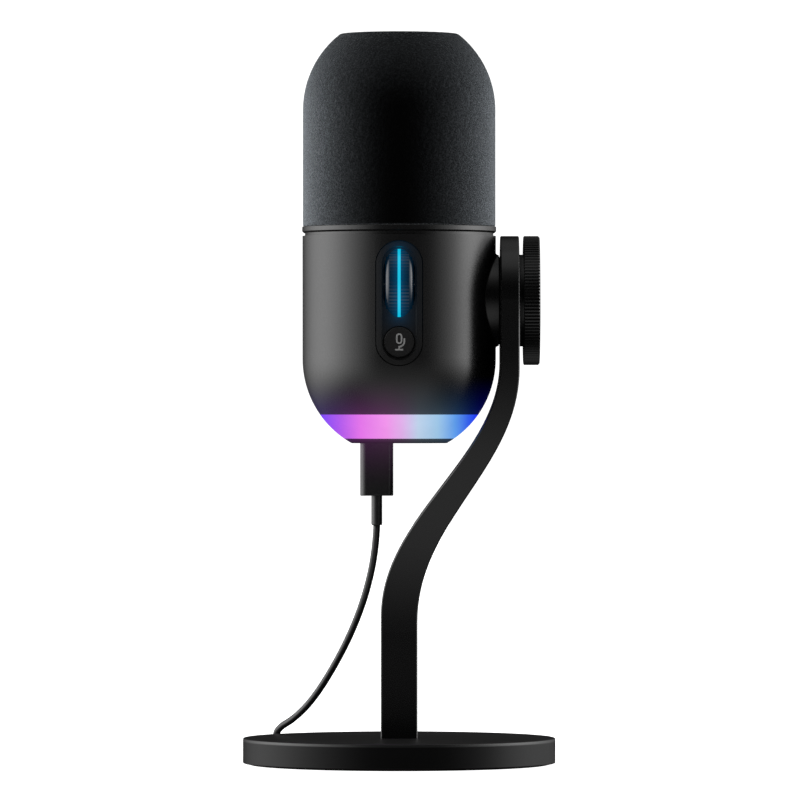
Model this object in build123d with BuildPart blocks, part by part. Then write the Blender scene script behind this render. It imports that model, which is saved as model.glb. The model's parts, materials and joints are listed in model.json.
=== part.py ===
"""Desktop microphone on a round base with a curved arm and a clamp knob.

Millimetres, +Z up, the microphone faces -Y. The origin is on the table under the base's centre.
"""
import os
from math import asin, cos, degrees, hypot, pi, radians, sin, sqrt, tan

from build123d import *

os.makedirs("parts", exist_ok=True)

# Base
BASE_R = 56.82
BASE_TOP = 9.65
BASE_BOTTOM = 1.35
SKIRT_BOTTOM = 0.5
BASE_WALL = 4.0
BASE_LID = 2.0
PAD_R = 54.6
ARM_SCREW_PITCH = 5.2

# Arm: a flat strap, thin in X, with a round head about the pivot
PIVOT_Z = 168.56
HEAD_R = 23.45
ARM_INNER_X = 36.7
ARM_OUTER_X = 43.5
FOOT_HALF_X = 6.7
FOOT_HALF_Y = 6.6
TENON = 9.0

# Pivot and clamp knob, both on the X axis through the pivot
THREAD_R = 3.95
BOSS_R = 16.6
BOSS_FACE_X = 36.22
WASHER_R = 16.7
WASHER_FACE_X = 43.53
HUB_X = 44.63
GRIP_X = 45.1
KNOB_END_X = 51.0
KNURL_COUNT = 120
KNURL_DEPTH = 0.35

# Microphone body, a solid of revolution about Z
BODY_R = 35.15
WALL = 2.2
SPHERE_Z = 147.3
BODY_TOP = 192.0
BAND_TOP = 127.1
BAND_BOTTOM = 118.4
CAP_BOTTOM = 116.7
BAND_WALL = 1.9
RING_R = 35.27
GROOVE_R = 34.25
RING_BOTTOM = 193.1
RING_TOP = 195.4
RING_BORE_R = 31.2
FOAM_TOP = 265.5
DOME_Z = 237.8
FOAM_THICKNESS = 4.15
GRILLE_WALL = 1.0

# Control panel: a pill that is flush with the front of the body
PILL_HALF = 8.43
PILL_LOW_Z = 153.1
PILL_HIGH_Z = 181.1
PILL_GAP = 0.35
RECESS_HALF = 6.5
RECESS_Y = -33.9
DISH_Y = -32.3
BUTTON_R = 5.45
BUTTON_Y = -34.3
BUTTON_TRAVEL = 0.6

# Gain wheel
WHEEL_R = 17.5
WHEEL_Y = -19.1
WHEEL_Z = 174.4
WHEEL_HALF = 5.05
RIB_HALF = 3.6
RIB_COUNT = 87
LIGHT_HALF = 0.55
AXLE_R = 1.5
WHEEL_CLEARANCE = [(3.8, 18.0), (4.7, 17.5), (5.2, 16.8), (5.6, 15.4)]

# USB lead
CORD_D = 2.6
CORD_R = CORD_D / 2
PORT_X = -8.13
PLUG_WIDTH = 12.05
PLUG_DEPTH = 6.5
RELIEF_END_Z = 86.9
RELIEF_LENGTH = 10.7
PLUG_LENGTH = 19.05
SHELL_LENGTH = 6.65
COIL_X = -12.0
COIL_Y = 89.0
COIL_R = 28.0
COIL_LIFT = 0.5
COIL_TURNS_PER_LAYER = 6.5333
COIL_RISE_TURNS = 0.35
COIL_HOLE_R = 9.5
TAIL_ANGLE = 30.0
TAIL_LENGTH = 16.0

FIT = 0.05

pivot_plane = Plane(origin=(0, 0, PIVOT_Z), x_dir=(0, 1, 0), z_dir=(1, 0, 0))
front_plane = Plane(origin=(0, 0, 0), x_dir=(1, 0, 0), z_dir=(0, -1, 0))
wheel_axis = Axis((0, WHEEL_Y, WHEEL_Z), (1, 0, 0))
wheel_plane = Plane(origin=(0, WHEEL_Y, WHEEL_Z), x_dir=(0, 1, 0), z_dir=(1, 0, 0))


def at_x(x):
    """Plane normal to the pivot axis, its origin on the axis."""
    return pivot_plane.offset(x)


def at_y(y):
    """Upright plane that faces the front, in front of or behind the body's centre."""
    return front_plane.offset(-y)


def sphere_radius(z, centre_z, radius):
    """Radius of a sphere's horizontal section."""
    return sqrt(radius**2 - (z - centre_z) ** 2)


def save(solid, name):
    """Label a finished piece and write it."""
    solid.label = name
    export_step(solid, f"parts/{name}.step")


def pill(half_width):
    """Upright pill about the panel's two arc centres, drawn in X and Z."""
    middle = (PILL_LOW_Z + PILL_HIGH_Z) / 2
    with Locations((0, middle)):
        SlotCenterToCenter(PILL_HIGH_Z - PILL_LOW_Z, 2 * half_width, rotation=90)


def screw(plane, places, head_r, head_h, shank_r, length):
    """Group of equal pan-head screws whose heads end on the plane and whose shanks rise from it."""
    with BuildPart() as group:
        for place in places:
            with BuildSketch(plane) as heads:
                with Locations(place):
                    Circle(head_r)
            extrude(amount=-head_h)
            with BuildSketch(plane) as shanks:
                with Locations(place):
                    Circle(shank_r)
            extrude(amount=length)
            with BuildSketch(plane.offset(-head_h)) as slots:
                with Locations(place):
                    Rectangle(head_r * 1.3, head_r * 0.3)
                    Rectangle(head_r * 0.3, head_r * 1.3)
            extrude(amount=head_h * 0.5, mode=Mode.SUBTRACT)
    return group.part


# ---------------------------------------------------------------- base

weight_screw_places = [(38.0 * cos(radians(a)), 38.0 * sin(radians(a))) for a in (30, 150, 270)]
arm_screw_places = [(0, -ARM_SCREW_PITCH / 2), (0, ARM_SCREW_PITCH / 2)]

with BuildPart() as base_cover:
    with BuildSketch(Plane.XY.offset(SKIRT_BOTTOM)):
        Circle(BASE_R)
    extrude(amount=BASE_TOP - SKIRT_BOTTOM)
    fillet(base_cover.edges().group_by(Axis.Z)[-1], radius=0.5)
    fillet(base_cover.edges().group_by(Axis.Z)[0], radius=0.4)
    with BuildSketch(Plane.XY.offset(SKIRT_BOTTOM)):
        Circle(PAD_R + 0.15)
    extrude(amount=BASE_BOTTOM - SKIRT_BOTTOM, mode=Mode.SUBTRACT)
    with BuildSketch(Plane.XY.offset(BASE_BOTTOM)):
        Circle(BASE_R - BASE_WALL)
    extrude(amount=BASE_TOP - BASE_LID - BASE_BOTTOM, mode=Mode.SUBTRACT)
    with BuildSketch(Plane.XY.offset(BASE_BOTTOM)):
        Rectangle(TENON + 2 * FIT, TENON + 2 * FIT)
    extrude(amount=BASE_TOP, mode=Mode.SUBTRACT)
    with BuildSketch(Plane.XY.offset(BASE_TOP - BASE_LID)):
        with Locations(*weight_screw_places):
            Circle(1.52)
    extrude(amount=1.3, mode=Mode.SUBTRACT)
save(base_cover.part, "base_cover")

with BuildPart() as base_weight:
    with BuildSketch(Plane.XY.offset(BASE_BOTTOM)):
        Circle(BASE_R - BASE_WALL - 0.2)
    extrude(amount=BASE_TOP - BASE_LID - BASE_BOTTOM)
    with Locations(Plane.XY.offset(BASE_BOTTOM).rotated((180, 0, 0))):
        with Locations(*[(x, -y) for x, y in weight_screw_places + arm_screw_places]):
            Hole(1.6, depth=BASE_TOP)
        with Locations(*[(x, -y) for x, y in weight_screw_places]):
            Hole(3.1, depth=2.4)
    with BuildSketch(Plane.XY.offset(BASE_BOTTOM)):
        SlotCenterToCenter(ARM_SCREW_PITCH, 5.8, rotation=90)
    extrude(amount=2.4, mode=Mode.SUBTRACT)
save(base_weight.part, "base_weight")

with BuildPart() as base_foot_pad:
    with BuildSketch(Plane.XY):
        Circle(PAD_R)
    extrude(amount=BASE_BOTTOM)
    fillet(base_foot_pad.edges().group_by(Axis.Z)[0], radius=0.3)
save(base_foot_pad.part, "base_foot_pad")

screw_seat = Plane.XY.offset(BASE_BOTTOM + 2.4)
save(screw(screw_seat, weight_screw_places, 2.9, 1.7, 1.5, 4.7), "weight_screws")
save(screw(screw_seat, arm_screw_places, 2.5, 1.7, 1.5, 14.0), "arm_screws")

# ---------------------------------------------------------------- arm

with BuildPart() as arm:
    with BuildSketch(at_y(-HEAD_R - 1)):
        with BuildLine():
            Line((FOOT_HALF_X, BASE_TOP), (-FOOT_HALF_X, BASE_TOP))
            Line((-FOOT_HALF_X, BASE_TOP), (-FOOT_HALF_X, 54))
            Bezier((-FOOT_HALF_X, 54), (-FOOT_HALF_X, 89.9), (ARM_INNER_X, 111.6), (ARM_INNER_X, 146))
            Line((ARM_INNER_X, 146), (ARM_INNER_X, PIVOT_Z + HEAD_R + 1))
            Line((ARM_INNER_X, PIVOT_Z + HEAD_R + 1), (ARM_OUTER_X, PIVOT_Z + HEAD_R + 1))
            Line((ARM_OUTER_X, PIVOT_Z + HEAD_R + 1), (ARM_OUTER_X, 144))
            Bezier((ARM_OUTER_X, 144), (ARM_OUTER_X, 107.6), (FOOT_HALF_X, 89), (FOOT_HALF_X, 52))
            Line((FOOT_HALF_X, 52), (FOOT_HALF_X, BASE_TOP))
        make_face()
    extrude(amount=-2 * (HEAD_R + 1))
    with BuildSketch(Plane.YZ.offset(-FOOT_HALF_X - 1)):
        with BuildLine():
            Line((-FOOT_HALF_Y, BASE_TOP), (FOOT_HALF_Y, BASE_TOP))
            Line((FOOT_HALF_Y, BASE_TOP), (FOOT_HALF_Y, 48))
            Bezier((FOOT_HALF_Y, 48), (FOOT_HALF_Y, 94), (HEAD_R, 100), (HEAD_R, 150))
            Line((HEAD_R, 150), (HEAD_R, PIVOT_Z))
            ThreePointArc((HEAD_R, PIVOT_Z), (0, PIVOT_Z + HEAD_R), (-HEAD_R, PIVOT_Z))
            Line((-HEAD_R, PIVOT_Z), (-HEAD_R, 150))
            Bezier((-HEAD_R, 150), (-HEAD_R, 100), (-FOOT_HALF_Y, 94), (-FOOT_HALF_Y, 48))
            Line((-FOOT_HALF_Y, 48), (-FOOT_HALF_Y, BASE_TOP))
        make_face()
    extrude(amount=ARM_OUTER_X + FOOT_HALF_X + 2, mode=Mode.INTERSECT)
    long_edges = [e for e in arm.edges() if e.center().Z > BASE_TOP + 1]
    chamfer(long_edges, length=0.35)
    with BuildSketch(Plane.XY.offset(BASE_TOP)):
        Rectangle(TENON, TENON)
    extrude(amount=-BASE_LID)
    with BuildSketch(Plane.XY.offset(BASE_TOP - BASE_LID)):
        with Locations(*arm_screw_places):
            Circle(1.52)
    extrude(amount=13.0, mode=Mode.SUBTRACT)
    with BuildSketch(at_x(ARM_INNER_X - 1)):
        Circle(6.02)
    extrude(amount=ARM_OUTER_X - ARM_INNER_X + 2, mode=Mode.SUBTRACT)
save(arm.part, "arm")

with BuildPart() as arm_bushing:
    with BuildSketch(at_x(ARM_INNER_X)):
        Circle(6.0)
        Circle(THREAD_R + FIT, mode=Mode.SUBTRACT)
    extrude(amount=ARM_OUTER_X - ARM_INNER_X)
save(arm_bushing.part, "arm_bushing")

with BuildPart() as friction_washer:
    with BuildSketch(at_x(BOSS_FACE_X + 0.03)):
        Circle(BOSS_R - 0.7)
        Circle(THREAD_R + 0.3, mode=Mode.SUBTRACT)
    extrude(amount=ARM_INNER_X - BOSS_FACE_X - 0.03)
save(friction_washer.part, "friction_washer")

# ---------------------------------------------------------------- clamp knob

with BuildPart() as clamp_washer:
    with BuildSketch(at_x(WASHER_FACE_X)):
        Circle(WASHER_R)
        Circle(THREAD_R + FIT, mode=Mode.SUBTRACT)
    extrude(amount=HUB_X - 0.03 - WASHER_FACE_X)
    chamfer(clamp_washer.edges().group_by(Axis.X)[0].sort_by(SortBy.RADIUS)[-1], length=0.25)
save(clamp_washer.part, "clamp_washer")

STUD_HEAD_R = 9.0
STUD_HEAD_X = 46.6
CAP_X = 49.9

with BuildPart() as knob_grip:
    with BuildSketch(at_x(GRIP_X)):
        Circle(HEAD_R)
        with PolarLocations(HEAD_R, KNURL_COUNT):
            Rectangle(2 * KNURL_DEPTH, 2 * KNURL_DEPTH * 0.95, rotation=45, mode=Mode.SUBTRACT)
    extrude(amount=KNOB_END_X - GRIP_X)
    with BuildSketch(Plane.XZ):
        Polygon(
            (GRIP_X, PIVOT_Z), (GRIP_X, PIVOT_Z + HEAD_R - 0.45), (GRIP_X + 0.3, PIVOT_Z + HEAD_R + 0.01),
            (KNOB_END_X - 0.55, PIVOT_Z + HEAD_R + 0.01), (KNOB_END_X, PIVOT_Z + HEAD_R - 0.55),
            (KNOB_END_X, PIVOT_Z),
            align=None,
        )
    revolve(axis=Axis((0, 0, PIVOT_Z), (1, 0, 0)), mode=Mode.INTERSECT)
    with BuildSketch(at_x(HUB_X)):
        Circle(WASHER_R)
    extrude(amount=GRIP_X - HUB_X)
    with BuildSketch(at_x(HUB_X)):
        Circle(THREAD_R + 0.02)
    extrude(amount=KNOB_END_X - HUB_X, mode=Mode.SUBTRACT)
    with BuildSketch(at_x(STUD_HEAD_X)):
        Circle(STUD_HEAD_R + 0.02)
    extrude(amount=KNOB_END_X - STUD_HEAD_X, mode=Mode.SUBTRACT)
    with BuildSketch(at_x(CAP_X)):
        Circle(19.0)
    extrude(amount=KNOB_END_X - CAP_X, mode=Mode.SUBTRACT)
save(knob_grip.part, "knob_grip")

with BuildPart() as knob_stud:
    with BuildSketch(at_x(29.6)):
        Circle(THREAD_R)
    extrude(amount=STUD_HEAD_X - 29.6)
    chamfer(knob_stud.edges().group_by(Axis.X)[0], length=0.8)
    with BuildSketch(at_x(STUD_HEAD_X)):
        Circle(STUD_HEAD_R)
    extrude(amount=CAP_X - STUD_HEAD_X - 0.05)
save(knob_stud.part, "knob_stud")

with BuildPart() as knob_cap:
    with BuildSketch(at_x(CAP_X)):
        Circle(18.9)
    extrude(amount=KNOB_END_X - CAP_X)
    fillet(knob_cap.edges().group_by(Axis.X)[-1], radius=0.3)
save(knob_cap.part, "knob_cap")

# ---------------------------------------------------------------- microphone shells

band_top_r = sphere_radius(BAND_TOP, SPHERE_Z, BODY_R)
band_low_r = sphere_radius(BAND_BOTTOM, SPHERE_Z, BODY_R)
cap_r = sphere_radius(CAP_BOTTOM, SPHERE_Z, BODY_R)


def sphere_point(z, radius):
    """Point of the bottom sphere's outline at a height, drawn in X and Z."""
    return (sphere_radius(z, SPHERE_Z, radius), z)


def body_form(radius, bottom_z):
    """Solid of the body's outline: a cylinder that ends in a part of a sphere."""
    with BuildPart() as form:
        with BuildSketch(Plane.XZ):
            with BuildLine():
                Line((0, bottom_z), sphere_point(bottom_z, radius))
                ThreePointArc(
                    sphere_point(bottom_z, radius),
                    sphere_point((bottom_z + SPHERE_Z) / 2, radius),
                    (radius, SPHERE_Z),
                )
                Line((radius, SPHERE_Z), (radius, BODY_TOP))
                Line((radius, BODY_TOP), (0, BODY_TOP))
                Line((0, BODY_TOP), (0, bottom_z))
            make_face()
        revolve(axis=Axis.Z)
    return form.part


def sphere_zone(top_z, bottom_z, wall):
    """Shell between two heights of the bottom sphere."""
    inner = BODY_R - wall
    with BuildPart() as zone:
        with BuildSketch(Plane.XZ):
            with BuildLine():
                ThreePointArc(
                    sphere_point(bottom_z, BODY_R),
                    sphere_point((top_z + bottom_z) / 2, BODY_R),
                    sphere_point(top_z, BODY_R),
                )
                Line(sphere_point(top_z, BODY_R), sphere_point(top_z, inner))
                ThreePointArc(
                    sphere_point(top_z, inner),
                    sphere_point((top_z + bottom_z) / 2, inner),
                    sphere_point(bottom_z, inner),
                )
                Line(sphere_point(bottom_z, inner), sphere_point(bottom_z, BODY_R))
            make_face()
        revolve(axis=Axis.Z)
    return zone.part


outer_form = body_form(BODY_R, BAND_TOP)
inner_form = body_form(BODY_R - WALL, BAND_TOP)

with BuildPart() as body_shell:
    add(outer_form)
    with BuildSketch(at_x(20)):
        Circle(BOSS_R)
    extrude(amount=BOSS_FACE_X - 20)
    saddle = [
        e for e in body_shell.edges()
        if abs(hypot(e.center().Y, e.center().Z - PIVOT_Z) - BOSS_R) < 4
        and 29 < e.position_at(0.3).X < 36
        and abs(hypot(e.position_at(0.3).Y, e.position_at(0.3).Z - PIVOT_Z) - BOSS_R) < 0.05
    ]
    fillet(saddle, radius=0.8)
    chamfer(body_shell.edges().group_by(Axis.X)[-1], length=0.2)
    add(inner_form, mode=Mode.SUBTRACT)
    with BuildSketch(at_y(-BODY_R - 1)):
        pill(PILL_HALF + PILL_GAP / 2)
    extrude(amount=-10, mode=Mode.SUBTRACT)
    with BuildSketch(at_x(28)):
        Circle(6.55)
    extrude(amount=12, mode=Mode.SUBTRACT)
save(body_shell.part, "body_shell")

with BuildPart() as control_panel:
    with BuildSketch(at_y(-BODY_R - 1)):
        pill(PILL_HALF - PILL_GAP / 2)
    extrude(amount=-8)
    add(outer_form, mode=Mode.INTERSECT)
    with BuildPart(mode=Mode.PRIVATE) as flange:
        with BuildSketch(at_y(-BODY_R)):
            pill(PILL_HALF + 0.97)
        extrude(amount=-7)
        add(body_form(32.6, BAND_TOP), mode=Mode.INTERSECT)
    add(flange.part)
    add(body_form(31.2, BAND_TOP), mode=Mode.SUBTRACT)
    with BuildSketch(at_y(RECESS_Y)):
        pill(RECESS_HALF - 0.55)
    extrude(amount=3, taper=-24, mode=Mode.SUBTRACT)
    with BuildSketch(at_y(-BODY_R - 1)):
        with Locations((0, WHEEL_Z)):
            Ellipse(5.4, 12.12)
        with Locations((0, PILL_LOW_Z)):
            Circle(BUTTON_R + 0.4)
    extrude(amount=-12, mode=Mode.SUBTRACT)
    with BuildSketch(at_y(-31.9)):
        with Locations((0, PILL_LOW_Z)):
            Circle(7.2)
    extrude(amount=-8, mode=Mode.SUBTRACT)
    with BuildSketch(at_y(DISH_Y)):
        with Locations((0, WHEEL_Z)):
            Ellipse(6.35, 12.4)
    extrude(amount=4, mode=Mode.SUBTRACT)
    for half_width, radius in WHEEL_CLEARANCE:
        with BuildSketch(wheel_plane.offset(-half_width)):
            Circle(radius)
        extrude(amount=2 * half_width, mode=Mode.SUBTRACT)
save(control_panel.part, "control_panel")

save(sphere_zone(BAND_TOP, BAND_BOTTOM, BAND_WALL), "light_band")

cap_screw_places = [(0, -12.0), (0, 12.0)]

with BuildPart() as bottom_cap:
    with BuildSketch(Plane.XZ):
        with BuildLine():
            Line((0, CAP_BOTTOM), (cap_r, CAP_BOTTOM))
            ThreePointArc(
                (cap_r, CAP_BOTTOM),
                sphere_point((CAP_BOTTOM + BAND_BOTTOM) / 2, BODY_R),
                (band_low_r, BAND_BOTTOM),
            )
            Line((band_low_r, BAND_BOTTOM), (0, BAND_BOTTOM))
            Line((0, BAND_BOTTOM), (0, CAP_BOTTOM))
        make_face()
    revolve(axis=Axis.Z)
    with BuildSketch(Plane.XY.offset(CAP_BOTTOM)):
        with Locations((PORT_X, 0)):
            SlotOverall(9.4, 3.6)
        with Locations(*cap_screw_places):
            Circle(1.1)
    extrude(amount=3, mode=Mode.SUBTRACT)
    with BuildSketch(Plane.XY.offset(CAP_BOTTOM)):
        with Locations(*cap_screw_places):
            Circle(2.1)
    extrude(amount=1.0, mode=Mode.SUBTRACT)
save(bottom_cap.part, "bottom_cap")
save(screw(Plane.XY.offset(CAP_BOTTOM + 1.0), cap_screw_places, 2.0, 0.9, 1.0, 6.0), "cap_screws")

with BuildPart() as trim_ring:
    with BuildSketch(Plane.XZ):
        Polygon(
            (RING_BORE_R, 190.6), (BODY_R - WALL - FIT, 190.6), (BODY_R - WALL - FIT, BODY_TOP),
            (GROOVE_R, BODY_TOP), (GROOVE_R, RING_BOTTOM), (RING_R - 0.6, RING_BOTTOM),
            (RING_R, RING_BOTTOM + 0.6), (RING_R, RING_TOP - 0.15), (RING_R - 0.15, RING_TOP),
            (RING_BORE_R, RING_TOP),
            align=None,
        )
    revolve(axis=Axis.Z)
save(trim_ring.part, "trim_ring")


def dome(radius, bottom_z, top_z, edge_round):
    """Solid of a cylinder under a flat-topped dome with a rounded edge."""
    flat_r = sphere_radius(top_z, DOME_Z, radius)
    half_turn = asin((top_z - DOME_Z) / radius) / 2
    with BuildPart() as solid:
        with BuildSketch(Plane.XZ):
            with BuildLine():
                Line((0, bottom_z), (radius, bottom_z))
                Line((radius, bottom_z), (radius, DOME_Z))
                ThreePointArc(
                    (radius, DOME_Z),
                    (radius * cos(half_turn), DOME_Z + radius * sin(half_turn)),
                    (flat_r, top_z),
                )
                Line((flat_r, top_z), (0, top_z))
                Line((0, top_z), (0, bottom_z))
            make_face()
        revolve(axis=Axis.Z)
        fillet(solid.edges().group_by(Axis.Z)[-1], radius=edge_round)
    return solid.part


with BuildPart() as foam_windscreen:
    add(dome(BODY_R, RING_TOP + 0.02, FOAM_TOP, 1.8))
    add(dome(BODY_R - FOAM_THICKNESS, RING_TOP, FOAM_TOP - FOAM_THICKNESS, 1.5), mode=Mode.SUBTRACT)
save(foam_windscreen.part, "foam_windscreen")

DECK_BOTTOM = 193.3
DECK_TOP = 195.3
GRILLE_R = BODY_R - FOAM_THICKNESS - 0.2

with BuildPart() as grille:
    add(dome(GRILLE_R, DECK_TOP, FOAM_TOP - FOAM_THICKNESS - 0.2, 1.5))
    add(
        dome(GRILLE_R - GRILLE_WALL, DECK_TOP, FOAM_TOP - FOAM_THICKNESS - 0.2 - GRILLE_WALL, 1.2),
        mode=Mode.SUBTRACT,
    )
    for angle in range(0, 180, 30):
        with BuildSketch(Plane.XZ.rotated((0, 0, angle)).offset(-GRILLE_R - 1)):
            with Locations((0, 220)):
                SlotOverall(34, 7, rotation=90)
        extrude(amount=2 * GRILLE_R + 2, mode=Mode.SUBTRACT)
save(grille.part, "grille")

# ---------------------------------------------------------------- capsule

CAPSULE_Z = 226.0
CAPSULE_R = 8.0
deck_screw_places = [(-16, 2.4), (16, 2.4)]

with BuildPart() as capsule_deck:
    with BuildSketch(Plane.XY.offset(DECK_BOTTOM)):
        Circle(RING_BORE_R - 0.1)
    extrude(amount=DECK_TOP - DECK_BOTTOM)
    with BuildSketch(Plane.XY.offset(DECK_BOTTOM)):
        with Locations(*deck_screw_places):
            Circle(1.3)
        with Locations((0, 16)):
            Circle(3)
    extrude(amount=DECK_TOP - DECK_BOTTOM, mode=Mode.SUBTRACT)
save(capsule_deck.part, "capsule_deck")

deck_screw_plane = Plane(origin=(0, 0, DECK_TOP), x_dir=(1, 0, 0), z_dir=(0, 0, -1))
deck_screw_mirror = [(x, -y) for x, y in deck_screw_places]
save(screw(deck_screw_plane, deck_screw_mirror, 2.2, 1.4, 1.2, 5.8), "deck_screws")

with BuildPart() as capsule_mount:
    with BuildSketch(Plane.XZ.offset(-4)):
        with Locations((0, CAPSULE_Z)):
            Circle(CAPSULE_R + 3.2)
        with Locations((0, (DECK_TOP + CAPSULE_Z) / 2 - 3)):
            Rectangle(11, CAPSULE_Z - DECK_TOP - 6)
    extrude(amount=8)
    with BuildSketch(Plane.XY.offset(DECK_TOP)):
        RectangleRounded(22, 14, 3)
    extrude(amount=3)
    with BuildSketch(Plane.XZ.offset(-5)):
        with Locations((0, CAPSULE_Z)):
            Circle(CAPSULE_R + 0.02)
    extrude(amount=10, mode=Mode.SUBTRACT)
save(capsule_mount.part, "capsule_mount")

with BuildPart() as capsule_housing:
    with BuildSketch(at_y(6)):
        with Locations((0, CAPSULE_Z)):
            Circle(CAPSULE_R)
    extrude(amount=12)
    with BuildSketch(at_y(-6)):
        with Locations((0, CAPSULE_Z)):
            Circle(CAPSULE_R - 0.8)
    extrude(amount=-11, mode=Mode.SUBTRACT)
save(capsule_housing.part, "capsule_housing")


def capsule_disc(name, radius, front_y, thickness, bore=0.0):
    """Disc or ring inside the capsule."""
    with BuildPart() as disc:
        with BuildSketch(at_y(front_y)):
            with Locations((0, CAPSULE_Z)):
                Circle(radius)
                if bore:
                    Circle(bore, mode=Mode.SUBTRACT)
        extrude(amount=-thickness)
    save(disc.part, name)


capsule_disc("capsule_clamp_ring", 7.15, -5.9, 1.2, bore=5.8)
capsule_disc("capsule_diaphragm", 7.1, -4.68, 0.2)
capsule_disc("capsule_backplate", 7.1, -4.2, 1.5)
capsule_disc("capsule_board", 7.1, 3.2, 1.2)

# ---------------------------------------------------------------- chassis and boards

PLATE_Y = 1.2
PLATE_T = 2.0
BOARD_Y = PLATE_Y + PLATE_T + 0.4
board_screw_places = [(x, z) for x in (-15, 15) for z in (139, 184)]
insert_screw_places = [(7.0 * cos(radians(a)), 7.0 * sin(radians(a))) for a in (0, 120, 240)]

with BuildPart() as chassis:
    with BuildSketch(Plane.XY.offset(129.6)):
        Circle(26)
    extrude(amount=2)
    with BuildSketch(Plane.XY.offset(131.6)):
        with Locations((2.75, PLATE_Y + PLATE_T / 2)):
            Rectangle(49.5, PLATE_T)
    extrude(amount=DECK_BOTTOM - 131.6)
    with BuildSketch(Plane.XY.offset(DECK_BOTTOM)):
        with Locations(*deck_screw_places):
            Rectangle(5, 5)
    extrude(amount=-4.6)
    with BuildSketch(at_x(25.5)):
        Circle(10)
    extrude(amount=2)
    with BuildSketch(Plane.XY.offset(129.6)):
        with Locations(*cap_screw_places):
            Circle(2.6)
    extrude(amount=BAND_BOTTOM - 129.6)
    with BuildSketch(Plane.XY.offset(BAND_BOTTOM)):
        with Locations(*cap_screw_places):
            Circle(1.02)
    extrude(amount=7, mode=Mode.SUBTRACT)
    with BuildSketch(Plane.XY.offset(DECK_BOTTOM)):
        with Locations(*deck_screw_places):
            Circle(1.22)
    extrude(amount=-4.6, mode=Mode.SUBTRACT)
    with BuildSketch(at_x(25)):
        with Locations(*insert_screw_places):
            Circle(1.1)
    extrude(amount=3, mode=Mode.SUBTRACT)
    with BuildSketch(at_y(PLATE_Y + PLATE_T)):
        with Locations(*board_screw_places):
            Circle(1.1)
    extrude(amount=1.6, mode=Mode.SUBTRACT)
    with BuildSketch(Plane.XY.offset(129)):
        with Locations((PORT_X, 0)):
            Rectangle(11, 7)
    extrude(amount=3, mode=Mode.SUBTRACT)
save(chassis.part, "chassis")

with BuildPart() as pivot_insert:
    with BuildSketch(at_x(27.6)):
        Circle(9)
    extrude(amount=2.2)
    with BuildSketch(at_x(29.8)):
        Circle(6.5)
    extrude(amount=BOSS_FACE_X - 29.8)
    with BuildSketch(at_x(29.5)):
        Circle(THREAD_R + FIT)
    extrude(amount=8, mode=Mode.SUBTRACT)
    with BuildSketch(at_x(27.6)):
        with Locations(*insert_screw_places):
            Circle(1.02)
    extrude(amount=1.6, mode=Mode.SUBTRACT)
save(pivot_insert.part, "pivot_insert")
save(screw(at_x(25.45), insert_screw_places, 1.9, 1.3, 1.0, 3.6), "insert_screws")

with BuildPart() as main_board:
    with BuildSketch(at_y(BOARD_Y)):
        with Locations((0, 161.5)):
            RectangleRounded(38, 53, 2)
        with Locations(*board_screw_places):
            Circle(1.2, mode=Mode.SUBTRACT)
    extrude(amount=-1.6)
save(main_board.part, "main_board")

COMPONENTS = [
    (0, 164, 10, 10, 1.2), (-9, 150, 7, 7, 1.0), (9, 150, 5, 4, 1.6), (10, 174, 6, 5, 1.4),
    (-10, 176, 4, 6, 2.2), (0, 141, 8, 3, 2.4), (-4, 180, 3, 2, 0.9), (4, 181, 3, 2, 0.9),
]
with BuildPart() as board_components:
    for x, z, width, height, thickness in COMPONENTS:
        with BuildSketch(at_y(BOARD_Y + 1.6)):
            with Locations((x, z)):
                Rectangle(width, height)
        extrude(amount=-thickness)
save(board_components.part, "board_components")

board_screw_plane = Plane(origin=(0, BOARD_Y + 1.65, 0), x_dir=(1, 0, 0), z_dir=(0, -1, 0))
save(screw(board_screw_plane, board_screw_places, 2.0, 1.3, 1.0, 3.4), "board_screws")

SWITCH_Y = -24.0

with BuildPart() as control_board:
    with BuildSketch(at_y(SWITCH_Y)):
        with Locations((0, 147)):
            RectangleRounded(20, 19, 1.5)
    extrude(amount=-1.6)
save(control_board.part, "control_board")

with BuildPart() as control_post:
    with BuildSketch(Plane.XZ.offset(-SWITCH_Y - 1.6)):
        with Locations((-8, 140.5), (8, 140.5)):
            Circle(1.5)
    extrude(amount=SWITCH_Y + 1.6 - PLATE_Y)
save(control_post.part, "control_posts")

with BuildPart() as mute_switch:
    with BuildSketch(at_y(SWITCH_Y)):
        with Locations((0, PILL_LOW_Z)):
            RectangleRounded(6, 6, 0.5)
    extrude(amount=3.4)
    with BuildSketch(at_y(SWITCH_Y - 3.4)):
        with Locations((0, PILL_LOW_Z)):
            Circle(1.7)
    extrude(amount=0.8)
save(mute_switch.part, "mute_switch")

# ---------------------------------------------------------------- gain wheel

EAR_X = 5.9
EAR_T = 1.6


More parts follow.
